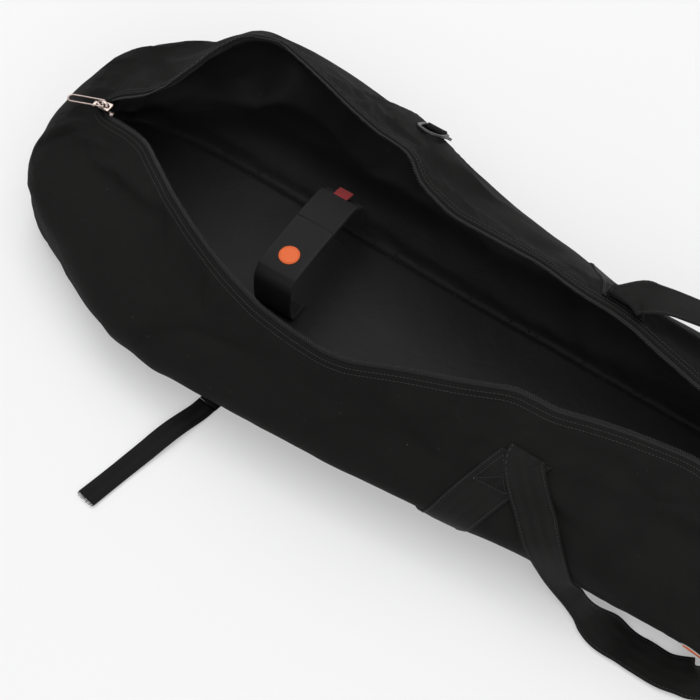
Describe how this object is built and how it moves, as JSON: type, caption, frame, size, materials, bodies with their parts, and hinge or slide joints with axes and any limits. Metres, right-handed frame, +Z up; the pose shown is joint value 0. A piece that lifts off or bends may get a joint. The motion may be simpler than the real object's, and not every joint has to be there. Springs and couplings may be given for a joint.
{
  "type": "ski and snowboard bag",
  "caption": "Long padded black fabric bag for skis or a snowboard, shown unzipped, with a lengthwise zip, webbing carry handles, D-rings, an inner hold-down strap and a lash strap.",
  "frame": {"origin": "centre of the base panel's underside, on the floor", "axes": "+X along the bag from the tip (zip slider at rest) to the tail, +Y from the near wall to the far wall, +Z up"},
  "size_m": [1.76, 0.583, 0.2052],
  "materials": {
    "outer_fabric": "matte woven polyester",
    "lining_fabric": "matte coated lining",
    "webbing": "matte woven webbing",
    "zip_tape": "matte zip tape with a nylon coil",
    "zip_metal": "satin warm nickel plating",
    "ring_plastic": "semi-gloss moulded acetal",
    "strap_fabric": "matte hook and loop strap",
    "red_tape": "matte woven tape",
    "orange_patch": "matte printed rubber"
  },
  "bodies": {
    "root": {"base_panel": "outer_fabric", "base_lining": "lining_fabric", "tip_end_panel": "outer_fabric", "tail_end_panel": "outer_fabric", "tip_zip_stop": "zip_metal", "tail_zip_stop": "zip_metal", "inner_strap_far": "strap_fabric", "inner_strap_near": "strap_fabric", "inner_strap_patch": "orange_patch", "lash_strap_root": "webbing"},
    "near_tip_wall": {"near_tip_panel": "outer_fabric", "near_tip_lining": "lining_fabric", "near_tip_zip": "zip_tape"},
    "near_mid_wall": {"near_mid_panel": "outer_fabric", "near_mid_lining": "lining_fabric", "near_mid_zip": "zip_tape", "near_handle_bands": "webbing", "side_patch": "orange_patch"},
    "far_tip_wall": {"far_tip_panel": "outer_fabric", "far_tip_lining": "lining_fabric", "far_tip_zip": "zip_tape", "tip_ring_tab": "webbing"},
    "far_mid_wall": {"far_mid_panel": "outer_fabric", "far_mid_lining": "lining_fabric", "far_mid_zip": "zip_tape", "far_handle_bands": "webbing", "tail_ring_tab": "webbing"},
    "near_carry_handle": {"near_handle": "webbing"},
    "far_carry_handle": {"far_handle": "webbing"},
    "slider": {"zip_slider": "zip_metal"},
    "pull": {"zip_pull": "zip_metal"},
    "tip_ring": {"tip_d_ring": "ring_plastic"},
    "tail_ring": {"tail_d_ring": "ring_plastic"},
    "strap_end": {"inner_strap_end": "strap_fabric", "inner_strap_pull": "red_tape"},
    "lash": {"lash_strap": "webbing"}
  },
  "joints": [
    {"name": "near_wall_close", "type": "hinge", "parent": "root", "child": "near_tip_wall", "pos_m": [0, -0.128, 0.006], "axis": [-1, 0, 0], "range_deg": [0, 48]},
    {"name": "near_middle_close", "type": "hinge", "parent": "root", "child": "near_mid_wall", "pos_m": [0, -0.128, 0.006], "axis": [-1, 0, 0], "range_deg": [0, 28]},
    {"name": "far_wall_close", "type": "hinge", "parent": "root", "child": "far_tip_wall", "pos_m": [0, 0.146, 0.006], "axis": [1, 0, 0], "range_deg": [0, 38]},
    {"name": "far_middle_close", "type": "hinge", "parent": "root", "child": "far_mid_wall", "pos_m": [0, 0.146, 0.006], "axis": [1, 0, 0], "range_deg": [0, 23]},
    {"name": "zip_slide", "type": "slide", "parent": "root", "child": "slider", "axis": [1, 0, 0], "range_m": [0, 1.58]},
    {"name": "pull_flip", "type": "hinge", "parent": "slider", "child": "pull", "pos_m": [-0.79, 0, 0.1372], "axis": [-0.3584, 0.9336, 0], "range_deg": [0, 168]},
    {"name": "near_handle_lift", "type": "hinge", "parent": "near_mid_wall", "child": "near_carry_handle", "pos_m": [0, -0.124, 0.1485], "axis": [-1, 0, 0], "range_deg": [0, 140]},
    {"name": "far_handle_lift", "type": "hinge", "parent": "far_mid_wall", "child": "far_carry_handle", "pos_m": [0, 0.095, 0.164], "axis": [1, 0, 0], "range_deg": [-10, 60]},
    {"name": "tip_ring_flip", "type": "hinge", "parent": "far_tip_wall", "child": "tip_ring", "pos_m": [-0.469, 0.18815, 0.1233], "axis": [-1, 0, 0], "range_deg": [0, 140]},
    {"name": "tail_ring_flip", "type": "hinge", "parent": "far_mid_wall", "child": "tail_ring", "pos_m": [0.469, 0.15564, 0.12853], "axis": [-1, 0, 0], "range_deg": [0, 140]},
    {"name": "strap_peel", "type": "hinge", "parent": "root", "child": "strap_end", "pos_m": [-0.524, 0.031, 0.081], "axis": [1, 0, 0], "range_deg": [0, 35]},
    {"name": "lash_lift", "type": "hinge", "parent": "root", "child": "lash", "pos_m": [-0.516, -0.1895, 0.0015], "axis": [-1, 0, 0], "range_deg": [0, 40]}
  ],
  "couplings": [
    {"joint": "far_wall_close", "follows": "near_wall_close", "ratio": 0.79167},
    {"joint": "near_middle_close", "follows": "near_wall_close", "ratio": 0.58333},
    {"joint": "far_middle_close", "follows": "near_wall_close", "ratio": 0.47917},
    {"joint": "zip_slide", "follows": "near_wall_close", "m_per_rad": 1.886}
  ]
}
